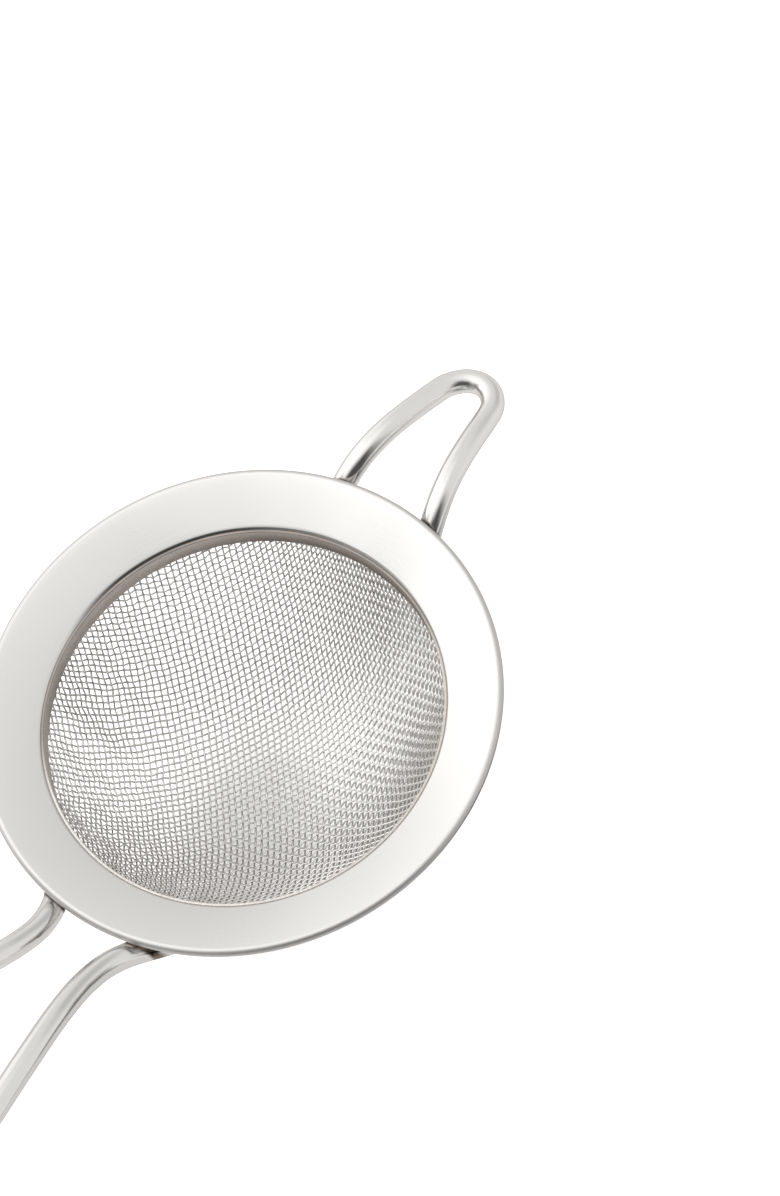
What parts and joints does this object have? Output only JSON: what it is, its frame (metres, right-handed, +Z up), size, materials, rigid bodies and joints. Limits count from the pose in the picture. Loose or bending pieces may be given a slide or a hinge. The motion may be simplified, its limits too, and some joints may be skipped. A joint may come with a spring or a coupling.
{
  "type": "tea strainer",
  "caption": "Round strainer with a wide conical steel rim, a woven wire bowl, a bent rod support loop and a long handle of bent rod.",
  "frame": {"origin": "centre of the rim, level with the bottom of its turned-down lip", "axes": "+X along the handle away from the rim, +Z up out of the bowl's mouth; the support loop points along -X"},
  "size_m": [0.2301, 0.08, 0.0475],
  "materials": {
    "rim_steel": "fine circular satin, softly bright",
    "sleeve_steel": "brushed upright, darker than the rim",
    "mesh_wire": "bright drawn wire, plain weave",
    "rod_steel": "polished round rod, near mirror",
    "weld_metal": "dull cleaned weld"
  },
  "bodies": {
    "root": {"rim_ring": "rim_steel", "retaining_ring": "sleeve_steel", "mesh_bowl": "mesh_wire", "support_loop": "rod_steel", "handle": "rod_steel", "weld_handle_left": "weld_metal", "weld_handle_right": "weld_metal", "weld_loop_left": "weld_metal", "weld_loop_right": "weld_metal"}
  },
  "joints": []
}
